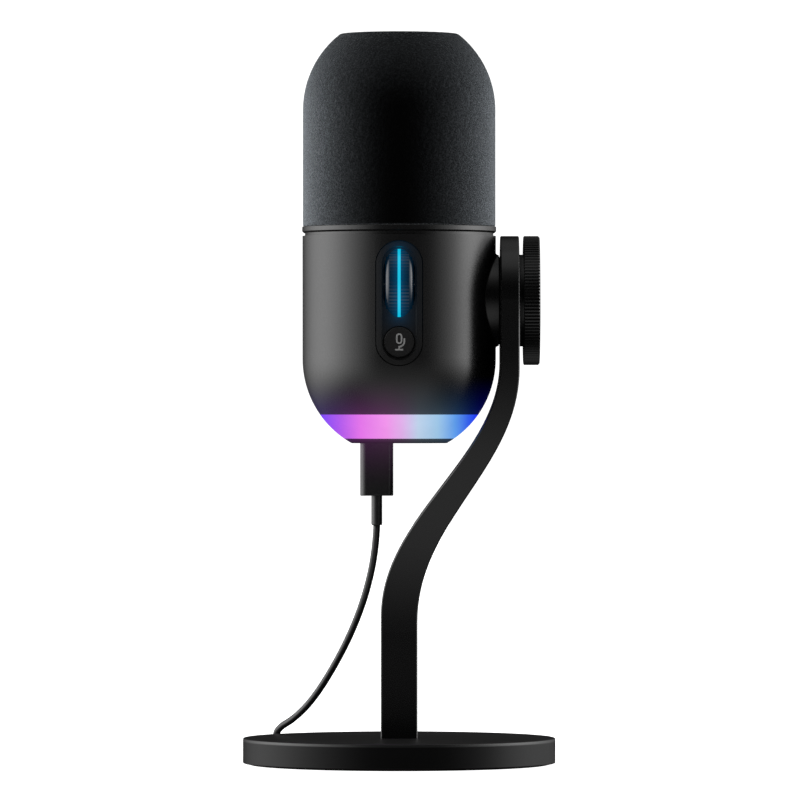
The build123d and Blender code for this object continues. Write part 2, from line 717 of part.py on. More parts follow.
def wheel_rim(side):
    """Half of the wheel: a ribbed tread next to the light ring and a smooth bevel outside it."""
    with BuildPart() as rim:
        with BuildSketch(wheel_plane.offset(side * (LIGHT_HALF + 0.02))):
            Circle(WHEEL_R)
            with PolarLocations(WHEEL_R, RIB_COUNT):
                Rectangle(0.5, 0.5, rotation=45, mode=Mode.SUBTRACT)
        extrude(amount=side * (RIB_HALF - LIGHT_HALF - 0.02))
        with BuildSketch(Plane.XY.offset(WHEEL_Z)):
            with BuildLine():
                Line((side * RIB_HALF, WHEEL_Y), (side * RIB_HALF, WHEEL_Y - WHEEL_R + 0.1))
                ThreePointArc(
                    (side * RIB_HALF, WHEEL_Y - WHEEL_R + 0.1),
                    (side * (RIB_HALF + 1.05), WHEEL_Y - WHEEL_R + 0.95),
                    (side * WHEEL_HALF, WHEEL_Y - WHEEL_R + 3.0),
                )
                Line((side * WHEEL_HALF, WHEEL_Y - WHEEL_R + 3.0), (side * WHEEL_HALF, WHEEL_Y))
                Line((side * WHEEL_HALF, WHEEL_Y), (side * RIB_HALF, WHEEL_Y))
            make_face()
        revolve(axis=wheel_axis)
        with BuildSketch(wheel_plane.offset(-8)):
            Circle(AXLE_R + 0.02)
        extrude(amount=16, mode=Mode.SUBTRACT)
    return rim.part


save(wheel_rim(-1), "wheel_rim_left")
save(wheel_rim(1), "wheel_rim_right")

with BuildPart() as wheel_light_ring:
    with BuildSketch(wheel_plane.offset(-LIGHT_HALF)):
        Circle(WHEEL_R + 0.06)
        Circle(AXLE_R + 0.02, mode=Mode.SUBTRACT)
    extrude(amount=2 * LIGHT_HALF)
save(wheel_light_ring.part, "wheel_light_ring")

with BuildPart() as wheel_axle:
    with BuildSketch(wheel_plane.offset(-EAR_X - EAR_T)):
        Circle(AXLE_R)
    extrude(amount=2 * (EAR_X + EAR_T) + 3.5)
save(wheel_axle.part, "wheel_axle")

with BuildPart() as wheel_bracket:
    with BuildSketch(Plane.XY.offset(WHEEL_Z - 4.5)):
        with Locations((0, (PLATE_Y - 1.1) / 2)):
            Rectangle(2 * (EAR_X + EAR_T), PLATE_Y + 1.1)
        with Locations((-EAR_X - EAR_T / 2, (PLATE_Y - 23.5) / 2), (EAR_X + EAR_T / 2, (PLATE_Y - 23.5) / 2)):
            Rectangle(EAR_T, PLATE_Y + 23.5)
    extrude(amount=9)
    with BuildSketch(wheel_plane.offset(-10)):
        Circle(AXLE_R + FIT)
    extrude(amount=20, mode=Mode.SUBTRACT)
save(wheel_bracket.part, "wheel_bracket")

with BuildPart() as wheel_encoder:
    with BuildSketch(wheel_plane.offset(EAR_X + EAR_T + 0.02)):
        RectangleRounded(10, 10, 1)
        Circle(AXLE_R + FIT, mode=Mode.SUBTRACT)
    extrude(amount=3.8)
    with BuildSketch(wheel_plane.offset(EAR_X + EAR_T + 3.82)):
        RectangleRounded(10, 10, 1)
    extrude(amount=1.2)
save(wheel_encoder.part, "wheel_encoder")

# ---------------------------------------------------------------- mute button

with BuildPart() as mute_button:
    with BuildSketch(at_y(BUTTON_Y)):
        with Locations((0, PILL_LOW_Z)):
            Circle(BUTTON_R)
    extrude(amount=BUTTON_Y + 31.0)
    chamfer(mute_button.edges().group_by(Axis.Y)[0], length=0.28)
    with BuildSketch(at_y(-31.8)):
        with Locations((0, PILL_LOW_Z)):
            Circle(6.9)
    extrude(amount=-1.0)
    with BuildSketch(at_y(-30.8)):
        with Locations((0, PILL_LOW_Z)):
            Circle(1.6)
    extrude(amount=-(SWITCH_Y - 4.2 - BUTTON_TRAVEL - 0.15 + 30.8))
save(mute_button.part, "mute_button")

# Pictogram: capsule outline, the right half of a cradle, stem and foot
ICON_LINE = 0.58
ICON_T = 0.07
CRADLE_R = 1.86
CRADLE_Z = PILL_LOW_Z + 0.25
with BuildPart() as mute_icon:
    with BuildSketch(at_y(BUTTON_Y)):
        with Locations((0, PILL_LOW_Z + 1.28)):
            SlotOverall(3.85, 2.3, rotation=90)
            SlotOverall(3.85 - 2 * ICON_LINE, 2.3 - 2 * ICON_LINE, rotation=90, mode=Mode.SUBTRACT)
        with Locations((0, PILL_LOW_Z - 2.05)):
            Rectangle(ICON_LINE, 1.1)
        with Locations((0, PILL_LOW_Z - 2.68)):
            Rectangle(2.9, ICON_LINE)
    extrude(amount=ICON_T)
    with BuildSketch(at_y(BUTTON_Y)):
        with Locations((0, CRADLE_Z)):
            Circle(CRADLE_R + ICON_LINE / 2)
            Circle(CRADLE_R - ICON_LINE / 2, mode=Mode.SUBTRACT)
        with Locations((1.5 - ICON_LINE / 4, CRADLE_Z - 1.5)):
            Rectangle(3 + ICON_LINE / 2, 3, mode=Mode.INTERSECT)
        with Locations((CRADLE_R, CRADLE_Z + 0.55)):
            Rectangle(ICON_LINE, 1.2)
    extrude(amount=ICON_T)
save(mute_icon.part, "mute_icon")

# ---------------------------------------------------------------- light board and USB port

with BuildPart() as light_board:
    with BuildSketch(Plane.XY.offset(124.2)):
        Circle(18)
        with Locations(*cap_screw_places):
            Circle(2.8, mode=Mode.SUBTRACT)
    extrude(amount=1.6)
save(light_board.part, "light_board")

with BuildPart() as leds:
    with BuildSketch(Plane.XY.offset(124.2)):
        with PolarLocations(16, 12, start_angle=15):
            Rectangle(3.2, 2.8)
    extrude(amount=-1.4)
save(leds.part, "leds")

with BuildPart() as usb_port:
    with BuildSketch(Plane.XY.offset(CAP_BOTTOM + 0.2)):
        with Locations((PORT_X, 0)):
            SlotOverall(9.2, 3.4)
    extrude(amount=7.3)
    with BuildSketch(Plane.XY.offset(CAP_BOTTOM + 0.2)):
        with Locations((PORT_X, 0)):
            SlotOverall(8.5, 2.7)
    extrude(amount=6.6, mode=Mode.SUBTRACT)
    with BuildSketch(Plane.XY.offset(CAP_BOTTOM + 1.5)):
        with Locations((PORT_X, 0)):
            Rectangle(6.4, 0.7)
    extrude(amount=5.5)
save(usb_port.part, "usb_port")

# ---------------------------------------------------------------- USB lead


def plug_body(plane):
    """Overmould of a plug, its cord end on the plane plus the strain relief's length."""
    with BuildPart() as body:
        with BuildSketch(plane.offset(RELIEF_LENGTH)):
            RectangleRounded(PLUG_WIDTH, PLUG_DEPTH, 2.4)
        extrude(amount=PLUG_LENGTH)
        fillet(body.faces().sort_by(Axis(plane.origin, plane.z_dir))[0].edges(), radius=0.35)
    return body.part


def plug_shell(plane):
    """Hollow metal shell of the plug."""
    with BuildPart() as shell:
        with BuildSketch(plane.offset(RELIEF_LENGTH + PLUG_LENGTH)):
            SlotOverall(8.3, 2.5)
            SlotOverall(7.5, 1.7, mode=Mode.SUBTRACT)
        extrude(amount=SHELL_LENGTH)
    return shell.part


def strain_relief(plane):
    """Short sleeve between the cord and the overmould."""
    with BuildPart() as sleeve:
        with BuildSketch(plane):
            Circle(1.98)
        extrude(amount=RELIEF_LENGTH)
        fillet(sleeve.edges().sort_by(Axis(plane.origin, plane.z_dir))[0], radius=0.35)
    return sleeve.part


near_plane = Plane(origin=(PORT_X, 0, RELIEF_END_Z), x_dir=(1, 0, 0), z_dir=(0, 0, 1))
save(plug_body(near_plane), "usb_plug_body")
save(plug_shell(near_plane), "usb_plug_shell")
save(strain_relief(near_plane), "usb_strain_relief")

# Route of the free cord: from the strain relief, over the base's rear edge, to the coil
ROUTE = [
    (-8.13, 0.0, 86.75),
    (-8.6, 0.7, 78.0),
    (-11.6, 4.2, 64.0),
    (-16.4, 9.3, 50.2),
    (-23.0, 16.0, 36.8),
    (-31.3, 24.4, 24.0),
    (-40.3, 32.8, 16.0),
    (-46.8, 40.6, 12.2),
    (-49.4, 48.2, 5.2),
    (-48.6, 57.6, 1.5),
    (-43.6, 67.2, 1.4),
    (-40.2, 77.0, 1.8),
]


def rounded_radii(points):
    """Largest tangent arcs: 0.45 of the shorter run over the tangent of half the turn."""
    radii = []
    for before, here, after in zip(points, points[1:], points[2:]):
        run_in = Vector(*here) - Vector(*before)
        run_out = Vector(*after) - Vector(*here)
        half_turn = radians(run_in.get_angle(run_out)) / 2
        radii.append(0.45 * min(run_in.length, run_out.length) / tan(half_turn))
    return radii


route_radii = rounded_radii(ROUTE)
print("cord radii", [round(r, 1) for r in route_radii])
route_runs = [(Vector(*b) - Vector(*a)).length for a, b in zip(ROUTE, ROUTE[1:])]
print("cord runs", [round(r, 1) for r in route_runs])

with BuildPart() as usb_cord:
    with BuildLine() as route:
        FilletPolyline(*ROUTE, radius=route_radii)
    with BuildSketch(Plane(origin=ROUTE[0], z_dir=Vector(*ROUTE[1]) - Vector(*ROUTE[0]))):
        Circle(CORD_R)
    sweep()
save(usb_cord.part, "usb_cord")
route_length = sum(edge.length for edge in route.edges())
section = pi * CORD_R**2
print("cord volume", round(usb_cord.part.volume, 2), "section times length", round(section * route_length, 2))

COIL_OUTER_R = COIL_R + CORD_R
COIL_HEIGHT = 2 * CORD_D + 0.05

with BuildPart() as cord_coil:
    with BuildSketch(Plane.XY.offset(COIL_LIFT)):
        with Locations((COIL_X, COIL_Y)):
            Circle(COIL_OUTER_R)
            Circle(COIL_HOLE_R, mode=Mode.SUBTRACT)
    extrude(amount=COIL_HEIGHT)
    fillet(cord_coil.edges().filter_by(GeomType.CIRCLE), radius=1.2)
save(cord_coil.part, "cord_coil")

TIE_WIDTH = 8.0
TIE_T = 0.45
TIE_INNER_Y = COIL_Y + COIL_HOLE_R - 1.2
TIE_OUTER_Y = COIL_Y + COIL_OUTER_R + 0.1
with BuildPart() as cord_tie:
    with BuildSketch(Plane.YZ.offset(COIL_X - TIE_WIDTH / 2)):
        with Locations(((TIE_INNER_Y + TIE_OUTER_Y) / 2, COIL_LIFT + COIL_HEIGHT / 2)):
            width = TIE_OUTER_Y - TIE_INNER_Y
            height = COIL_HEIGHT + 0.04
            RectangleRounded(width + 2 * TIE_T, height + 2 * TIE_T, 1.2)
            RectangleRounded(width, height, 0.75, mode=Mode.SUBTRACT)
    extrude(amount=TIE_WIDTH)
save(cord_tie.part, "cord_tie")

tail_direction = Vector(sin(radians(TAIL_ANGLE)), -cos(radians(TAIL_ANGLE)), 0)
tail_start = Vector(
    COIL_X + COIL_R * cos(radians(TAIL_ANGLE)),
    COIL_Y + COIL_R * sin(radians(TAIL_ANGLE)),
    COIL_LIFT + 1.5 * CORD_D,
)
far_end = Vector(
    tail_start.X + TAIL_LENGTH * tail_direction.X,
    tail_start.Y + TAIL_LENGTH * tail_direction.Y,
    PLUG_DEPTH / 2,
)
tail_near = tail_start + (far_end - tail_start) * 0.6
tail_far = tail_start + (far_end - tail_start) * 0.993

with BuildPart() as cord_tail:
    with BuildSketch(Plane(origin=tail_far, z_dir=tail_near - tail_far)):
        Circle(CORD_R)
    extrude(amount=(tail_far - tail_near).length)
save(cord_tail.part, "cord_tail")

far_plane = Plane(origin=far_end, x_dir=Vector(-tail_direction.Y, tail_direction.X, 0), z_dir=tail_direction)
save(plug_body(far_plane), "far_plug_body")
save(plug_shell(far_plane), "far_plug_shell")
save(strain_relief(far_plane), "far_strain_relief")

coil_inner_r = COIL_R - CORD_D * COIL_TURNS_PER_LAYER
coil_layer_length = pi * COIL_TURNS_PER_LAYER * (COIL_R + coil_inner_r)
coil_length = 2 * coil_layer_length + 2 * pi * COIL_RISE_TURNS * coil_inner_r
coil_turns = 2 * COIL_TURNS_PER_LAYER + COIL_RISE_TURNS
print("lead length", round(route_length + coil_length + TAIL_LENGTH))
print("coil end angle", round(180 - degrees(2 * pi * coil_turns) % 360, 1), "inner radius", round(coil_inner_r, 1))
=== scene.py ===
"""Desktop microphone: the looks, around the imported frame. Metres, +Z up, the front faces -Y."""
import json
import math
import random

import bpy
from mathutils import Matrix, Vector


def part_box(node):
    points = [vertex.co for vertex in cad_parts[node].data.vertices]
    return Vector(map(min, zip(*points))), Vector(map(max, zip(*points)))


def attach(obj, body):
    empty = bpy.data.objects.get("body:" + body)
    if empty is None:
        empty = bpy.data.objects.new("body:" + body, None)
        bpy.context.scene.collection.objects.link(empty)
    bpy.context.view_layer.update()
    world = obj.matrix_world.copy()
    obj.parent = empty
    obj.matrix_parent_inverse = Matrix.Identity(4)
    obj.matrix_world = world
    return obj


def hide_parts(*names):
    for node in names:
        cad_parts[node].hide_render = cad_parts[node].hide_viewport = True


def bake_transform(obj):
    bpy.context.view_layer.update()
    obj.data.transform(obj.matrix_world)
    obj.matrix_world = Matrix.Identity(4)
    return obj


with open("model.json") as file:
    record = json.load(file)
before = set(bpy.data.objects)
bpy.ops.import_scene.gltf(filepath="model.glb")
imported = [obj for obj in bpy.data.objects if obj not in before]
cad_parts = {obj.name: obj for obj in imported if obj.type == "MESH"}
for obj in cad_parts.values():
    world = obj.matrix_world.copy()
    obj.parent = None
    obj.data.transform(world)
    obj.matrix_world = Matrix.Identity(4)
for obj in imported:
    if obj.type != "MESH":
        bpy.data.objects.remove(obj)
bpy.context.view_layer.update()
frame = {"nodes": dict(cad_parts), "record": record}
nodes = frame["nodes"]

# ---------------------------------------------------------------- sizes taken from the frame

base_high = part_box("base_cover")[1]
shell_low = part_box("body_shell")[0]
band_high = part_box("light_band")[1]
cap_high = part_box("bottom_cap")[1]
foam_low, foam_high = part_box("foam_windscreen")
relief_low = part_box("usb_strain_relief")[0]
plug_low, plug_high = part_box("usb_plug_body")
coil_low, coil_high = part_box("cord_coil")
far_relief_low, far_relief_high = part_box("far_strain_relief")
wheel_low, wheel_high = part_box("wheel_light_ring")

BODY_R = -shell_low[0]
PORT_X = (plug_low[0] + plug_high[0]) / 2
BAR_HALF_HEIGHT = 0.0121
BAR_LOW_Z = (wheel_low[2] + wheel_high[2]) / 2 - BAR_HALF_HEIGHT
BAR_HIGH_Z = (wheel_low[2] + wheel_high[2]) / 2 + BAR_HALF_HEIGHT

# ---------------------------------------------------------------- camera and backdrop

EYE_DISTANCE = 2.755
EYE_HEIGHT = 0.1277
AIM = Vector((0.0003, 0.0, 0.1324))
LENS_MM = 341.0

scene = bpy.context.scene
scene.view_settings.view_transform = "Standard"


def add_camera():
    data = bpy.data.cameras.new("camera")
    data.lens = LENS_MM
    data.sensor_width = 36.0
    data.clip_end = 50.0
    camera = bpy.data.objects.new("camera", data)
    camera.location = (AIM.x, -EYE_DISTANCE, EYE_HEIGHT)
    camera.rotation_euler = (AIM - camera.location).to_track_quat("-Z", "Y").to_euler()
    scene.collection.objects.link(camera)
    scene.camera = camera


add_camera()

# ---------------------------------------------------------------- USB lead

CORD_D = 0.0026
COIL_CENTRE = Vector(((coil_low[0] + coil_high[0]) / 2, (coil_low[1] + coil_high[1]) / 2, 0.0))
COIL_R = (coil_high[0] - coil_low[0]) / 2 - CORD_D / 2
COIL_TURNS_PER_LAYER = 6.5333
COIL_RISE_TURNS = 0.35
COIL_POINTS_PER_TURN = 16
LAYER_LOW_Z = coil_low[2] + CORD_D / 2
LAYER_HIGH_Z = LAYER_LOW_Z + 1.01 * CORD_D
CORD_SIDES = 14
TAIL_LENGTH = 0.016

# From the strain relief over the base's rear edge and down to the table behind it
ROUTE = [
    (PORT_X, 0.0, relief_low[2] + 0.0008),
    (-0.0084, 0.0006, 0.0790),
    (-0.0114, 0.0042, 0.0640),
    (-0.0163, 0.0095, 0.0500),
    (-0.0229, 0.0160, 0.0365),
    (-0.0311, 0.0243, 0.0232),
    (-0.0383, 0.0312, 0.0155),
    (-0.0447, 0.0370, 0.0116),
    (-0.0457, 0.0415, 0.0074),
    (-0.0472, 0.0485, 0.0030),
    (-0.0470, 0.0576, 0.0014),
    (-0.0436, 0.0672, 0.0014),
    (-0.0403, 0.0766, 0.0016),
]


def coil_point(turns):
    """Control point of the coil: in on the low layer, up inside it, and out on the high layer."""
    rise_end = COIL_TURNS_PER_LAYER + COIL_RISE_TURNS
    inward = min(max(turns, 0.0), COIL_TURNS_PER_LAYER)
    outward = max(turns - rise_end, 0.0)
    radius = COIL_R - CORD_D * (inward - min(outward, COIL_TURNS_PER_LAYER))
    rise = min(max((turns - COIL_TURNS_PER_LAYER) / COIL_RISE_TURNS, 0.0), 1.0)
    height = LAYER_LOW_Z + (LAYER_HIGH_Z - LAYER_LOW_Z) * rise
    angle = math.pi - 2 * math.pi * turns
    reach = radius / math.cos(math.pi / COIL_POINTS_PER_TURN)
    return (
        COIL_CENTRE.x + reach * math.cos(angle),
        COIL_CENTRE.y + reach * math.sin(angle),
        height,
    )


def lead_points():
    """All control points of the lead, from its plug on the microphone to its far plug."""
    total_turns = 2 * COIL_TURNS_PER_LAYER + COIL_RISE_TURNS
    step = 1 / COIL_POINTS_PER_TURN
    count = int(round(total_turns / step))
    step = total_turns / count
    turns = [step * (index - 0.5) for index in range(count + 2)]
    points = list(ROUTE) + [coil_point(turn) for turn in turns]
    end_angle = math.pi - 2 * math.pi * total_turns
    outer = Vector((math.cos(end_angle), math.sin(end_angle), 0.0)) * COIL_R
    heading = Vector((math.sin(end_angle), -math.cos(end_angle), 0.0))
    far_z = (far_relief_low[2] + far_relief_high[2]) / 2
    far_end = COIL_CENTRE + outer + heading * (TAIL_LENGTH + 0.001)
    middle = COIL_CENTRE + outer + heading * (0.7 * TAIL_LENGTH)
    points.append((middle.x, middle.y, far_z + 0.0003))
    points.append((far_end.x, far_end.y, far_z))
    return points


def spline_path(points):
    """Points along the smooth NURBS line that has these control points."""
    curve = bpy.data.curves.new("lead_route", "CURVE")
    curve.dimensions = "3D"
    curve.resolution_u = 8
    spline = curve.splines.new("NURBS")
    spline.points.add(len(points) - 1)
    for point, place in zip(spline.points, points):
        point.co = (*place, 1.0)
    spline.order_u = 3
    spline.use_endpoint_u = True
    holder = bpy.data.objects.new("lead_route", curve)
    line = bpy.data.meshes.new_from_object(holder)
    path = [vertex.co.copy() for vertex in line.vertices]
    bpy.data.objects.remove(holder)
    bpy.data.curves.remove(curve)
    bpy.data.meshes.remove(line)
    return path


def mesh_object(name, vertices, faces, smooth=True):
    """New object with this mesh."""
    mesh = bpy.data.meshes.new(name)
    mesh.from_pydata([tuple(v) for v in vertices], [], faces)
    mesh.validate()
    mesh.polygons.foreach_set("use_smooth", [smooth] * len(mesh.polygons))
    made = bpy.data.objects.new(name, mesh)
    scene.collection.objects.link(made)
    return made


def tube(name, path, radius, sides):
    """Closed round tube along a path, with its section carried along without twist."""
    vertices, faces = [], []
    heading = (path[1] - path[0]).normalized()
    across = heading.orthogonal().normalized()
    for index, place in enumerate(path):
        before = path[max(index - 1, 0)]
        after = path[min(index + 1, len(path) - 1)]
        heading = (after - before).normalized()
        across = (across - heading * across.dot(heading)).normalized()
        other = heading.cross(across)
        for side in range(sides):
            angle = 2 * math.pi * side / sides
            vertices.append(place + (across * math.cos(angle) + other * math.sin(angle)) * radius)
    for ring in range(len(path) - 1):
        for side in range(sides):
            first = ring * sides + side
            second = ring * sides + (side + 1) % sides
            faces.append((first, second, second + sides, first + sides))
    faces.append(tuple(reversed(range(sides))))
    faces.append(tuple(range((len(path) - 1) * sides, len(path) * sides)))
    return mesh_object(name, vertices, faces)


lead_path = spline_path(lead_points())
lead = tube("usb_lead", lead_path, CORD_D / 2, CORD_SIDES)
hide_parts("usb_cord", "cord_coil", "cord_tail")
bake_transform(lead)

# ---------------------------------------------------------------- materials


def math_node(tree, operation, first, second=None):
    """Math node whose inputs are sockets or numbers."""
    made = tree.nodes.new("ShaderNodeMath")
    made.operation = operation
    for socket, value in zip(made.inputs, (first, second)):
        if isinstance(value, bpy.types.NodeSocket):
            tree.links.new(value, socket)
        elif value is not None:
            socket.default_value = value
    return made.outputs["Value"]


def new_material(name):
    """Material with a Principled shader; returns the material, its nodes, links and shader."""
    material = bpy.data.materials.new(name)
    material.use_nodes = True
    tree = material.node_tree
    return material, tree.nodes, tree.links, tree.nodes["Principled BSDF"]


def noise(shader_nodes, links, source, scale, detail=3.0, roughness=0.55):
    """Noise texture in object space."""
    texture = shader_nodes.new("ShaderNodeTexNoise")
    texture.inputs["Scale"].default_value = scale
    texture.inputs["Detail"].default_value = detail
    texture.inputs["Roughness"].default_value = roughness
    links.new(source, texture.inputs["Vector"])
    return texture.outputs["Fac"]


def remap(shader_nodes, links, value, low, high, from_low=0.3, from_high=0.7):
    """Value moved from one range to another."""
    mapping = shader_nodes.new("ShaderNodeMapRange")
    mapping.inputs["From Min"].default_value = from_low
    mapping.inputs["From Max"].default_value = from_high
    mapping.inputs["To Min"].default_value = low
    mapping.inputs["To Max"].default_value = high
    links.new(value, mapping.inputs["Value"])
    return mapping.outputs["Result"]


def tinted(shader_nodes, links, value, dark, light):
    """Colour between two tones by a value."""
    blend = shader_nodes.new("ShaderNodeMix")
    blend.data_type = "RGBA"
    links.new(value, blend.inputs["Factor"])
    blend.inputs["A"].default_value = (*dark, 1.0)
    blend.inputs["B"].default_value = (*light, 1.0)
    return blend.outputs["Result"]


def bump(shader_nodes, links, height, distance, strength=1.0):
    """Bump from a height."""
    made = shader_nodes.new("ShaderNodeBump")
    made.inputs["Strength"].default_value = strength
    made.inputs["Distance"].default_value = distance
    links.new(height, made.inputs["Height"])
    return made.outputs["Normal"]


def object_space(shader_nodes):
    """Object coordinates, in metres."""
    return shader_nodes.new("ShaderNodeTexCoord").outputs["Object"]


def satin(name, colour, roughness, spread=0.04, grain=2500.0, depth=0.00002, specular=0.5, metallic=0.0):
    """Moulded or coated surface: fine texture, uneven gloss and a slightly uneven colour."""
    material, n, links, shader = new_material(name)
    place = object_space(n)
    cloudy = noise(n, links, place, 60.0)
    fine = noise(n, links, place, grain, detail=2.0)
    lighter = tuple(c * 1.25 + 0.001 for c in colour)
    darker = tuple(c * 0.8 for c in colour)
    links.new(tinted(n, links, cloudy, darker, lighter), shader.inputs["Base Color"])
    links.new(remap(n, links, fine, roughness - spread, roughness + spread), shader.inputs["Roughness"])
    links.new(bump(n, links, fine, depth), shader.inputs["Normal"])
    shader.inputs["Specular IOR Level"].default_value = specular
    shader.inputs["Metallic"].default_value = metallic
    return material


def polish_above(material, height, below, above):
    """Gloss of a wall below a height and of the bevelled rim above it."""
    tree = material.node_tree
    split = tree.nodes.new("ShaderNodeSeparateXYZ")
    tree.links.new(object_space(tree.nodes), split.inputs["Vector"])
    level = remap(tree.nodes, tree.links, split.outputs["Z"], below, above, height - 0.0002, height + 0.0002)
    tree.links.new(level, tree.nodes["Principled BSDF"].inputs["Specular IOR Level"])


BAND_STOPS = [
    (0.00, (0.150, 0.030, 0.900)),
    (0.12, (0.400, 0.080, 0.830)),
    (0.26, (0.750, 0.165, 0.800)),
    (0.42, (0.870, 0.290, 0.830)),
    (0.52, (0.720, 0.420, 0.800)),
    (0.62, (0.490, 0.620, 0.800)),
    (0.74, (0.330, 0.550, 0.780)),
    (0.85, (0.110, 0.330, 0.820)),
    (0.93, (0.035, 0.120, 0.820)),
    (1.00, (0.005, 0.012, 0.900)),
]


def band_colour(shader_nodes, links, half_width):
    """Colours of the light band from the left side to the right."""
    split = shader_nodes.new("ShaderNodeSeparateXYZ")
    links.new(object_space(shader_nodes), split.inputs["Vector"])
    across = remap(shader_nodes, links, split.outputs["X"], 0.0, 1.0, -half_width, half_width)
    ramp = shader_nodes.new("ShaderNodeValToRGB")
    stops = ramp.color_ramp.elements
    while len(stops) < len(BAND_STOPS):
        stops.new(0.5)
    for stop, (position, colour) in zip(stops, BAND_STOPS):
        stop.position = position
        stop.color = (*colour, 1.0)
    links.new(across, ramp.inputs["Fac"])
    return ramp.outputs["Color"], split.outputs["Z"]


def add_painted_band_glow(material, half_width, near_z, far_z, strength):
    """Painted glow: emission in the band's colours on a neighbouring surface, fading with distance from the
    band.
    """
    tree = material.node_tree
    shader = tree.nodes["Principled BSDF"]
    colour, height = band_colour(tree.nodes, tree.links, half_width)
    fade = remap(tree.nodes, tree.links, height, strength, 0.0, near_z, far_z)
    tree.links.new(colour, shader.inputs["Emission Color"])
    tree.links.new(math_node(tree, "POWER", fade, 2.0), shader.inputs["Emission Strength"])


def add_painted_ring_glow(material, strength, reach, low_z=None, high_z=None):
    """Painted cyan glow of the wheel's ring: emission on what is near it, less with distance from the ring.
    """
    tree = material.node_tree
    shader = tree.nodes["Principled BSDF"]
    split = tree.nodes.new("ShaderNodeSeparateXYZ")
    tree.links.new(object_space(tree.nodes), split.inputs["Vector"])
    beside = math_node(tree, "ABSOLUTE", split.outputs["X"])
    beside = math_node(tree, "MAXIMUM", math_node(tree, "SUBTRACT", beside, wheel_high[0]), 0.0)
    away = math_node(tree, "POWER", beside, 2.0)
    if low_z is not None:
        past = math_node(tree, "SUBTRACT", split.outputs["Z"], (low_z + high_z) / 2)
        past = math_node(tree, "SUBTRACT", math_node(tree, "ABSOLUTE", past), (high_z - low_z) / 2)
        past = math_node(tree, "MAXIMUM", past, 0.0)
        away = math_node(tree, "ADD", away, math_node(tree, "POWER", past, 2.0))
    away = math_node(tree, "SQRT", away)
    fade = math_node(tree, "EXPONENT", math_node(tree, "DIVIDE", away, -reach))
    tree.links.new(math_node(tree, "MULTIPLY", fade, strength), shader.inputs["Emission Strength"])
    shader.inputs["Emission Color"].default_value = (0.0, 0.42, 1.0, 1.0)


def diffuser_material():
    """Lit translucent diffuser of the light band."""
    material, n, links, shader = new_material("band_diffuser")
    colour, height = band_colour(n, links, BODY_R * 0.82)
    shader.inputs["Base Color"].default_value = (0.02, 0.02, 0.02, 1.0)
    shader.inputs["Roughness"].default_value = 0.35
    links.new(colour, shader.inputs["Emission Color"])
    cloudy = noise(n, links, object_space(n), 90.0)
    links.new(remap(n, links, cloudy, 0.96, 1.04), shader.inputs["Emission Strength"])
    return material


FOAM_DARK = (0.0007, 0.0007, 0.0007)
# Colour of the painted sheen of the foam at a grazing view.
FOAM_PAINTED_SHEEN = (0.22, 0.24, 0.26)


def foam_material():
    """Open-cell acoustic foam: near black face on, with a painted sheen that lightens its colour towards its
    edges, and painted shade on faces that point up.
    """
    material, n, links, shader = new_material("open_cell_foam")
    tree = material.node_tree
    place = object_space(n)
    cells = n.new("ShaderNodeTexVoronoi")
    cells.inputs["Scale"].default_value = 1900.0
    links.new(place, cells.inputs["Vector"])
    fine = noise(n, links, place, 2500.0, detail=4.0, roughness=0.7)
    grain = math_node(tree, "ADD", cells.outputs["Distance"], fine)
    tone = remap(n, links, grain, 0.35, 1.65, 0.6, 1.3)
    edge = n.new("ShaderNodeLayerWeight")
    edge.inputs["Blend"].default_value = 0.5
    # Painted sheen: the colour grows lighter towards a grazing view, varied by the foam's grain.
    painted_sheen = math_node(tree, "POWER", edge.outputs["Facing"], 1.2)
    painted_sheen = math_node(tree, "MULTIPLY", painted_sheen, tone)
    # Painted shade: the upward-facing foam is made darker.
    upward = n.new("ShaderNodeSeparateXYZ")
    links.new(n.new("ShaderNodeTexCoord").outputs["Normal"], upward.inputs["Vector"])
    level = math_node(tree, "MAXIMUM", upward.outputs["Z"], 0.0)
    shade = math_node(tree, "SUBTRACT", 1.0, math_node(tree, "MULTIPLY", level, 1.15))
    painted_sheen = math_node(tree, "MULTIPLY", painted_sheen, math_node(tree, "MAXIMUM", shade, 0.0))
    links.new(tinted(n, links, painted_sheen, FOAM_DARK, FOAM_PAINTED_SHEEN), shader.inputs["Base Color"])
    links.new(bump(n, links, grain, 0.0003, 0.9), shader.inputs["Normal"])
    shader.inputs["Roughness"].default_value = 0.95
    shader.inputs["Specular IOR Level"].default_value = 0.03
    shader.inputs["Sheen Weight"].default_value = 0.4
    shader.inputs["Sheen Roughness"].default_value = 0.2
    shader.inputs["Sheen Tint"].default_value = (0.88, 0.95, 1.0, 1.0)
    return material


def lit_ring_material():
    """Lit cyan light ring of the gain wheel."""
    material, n, links, shader = new_material("wheel_light")
    shader.inputs["Base Color"].default_value = (0.01, 0.05, 0.06, 1.0)
    shader.inputs["Roughness"].default_value = 0.3
    shader.inputs["Emission Color"].default_value = (0.006, 0.50, 0.72, 1.0)
    cloudy = noise(n, links, object_space(n), 200.0)
    links.new(remap(n, links, cloudy, 0.98, 1.10), shader.inputs["Emission Strength"])
    return material


def woven_material():
    """Woven hook-and-loop tape."""
    material, n, links, shader = new_material("woven_tape")
    waves = n.new("ShaderNodeTexWave")
    waves.inputs["Scale"].default_value = 900.0
    waves.inputs["Distortion"].default_value = 2.0
    links.new(object_space(n), waves.inputs["Vector"])
    links.new(
        tinted(n, links, waves.outputs["Fac"], (0.008, 0.008, 0.009), (0.03, 0.03, 0.032)),
        shader.inputs["Base Color"],
    )
    links.new(bump(n, links, waves.outputs["Fac"], 0.0002), shader.inputs["Normal"])
    shader.inputs["Roughness"].default_value = 0.9
    return material


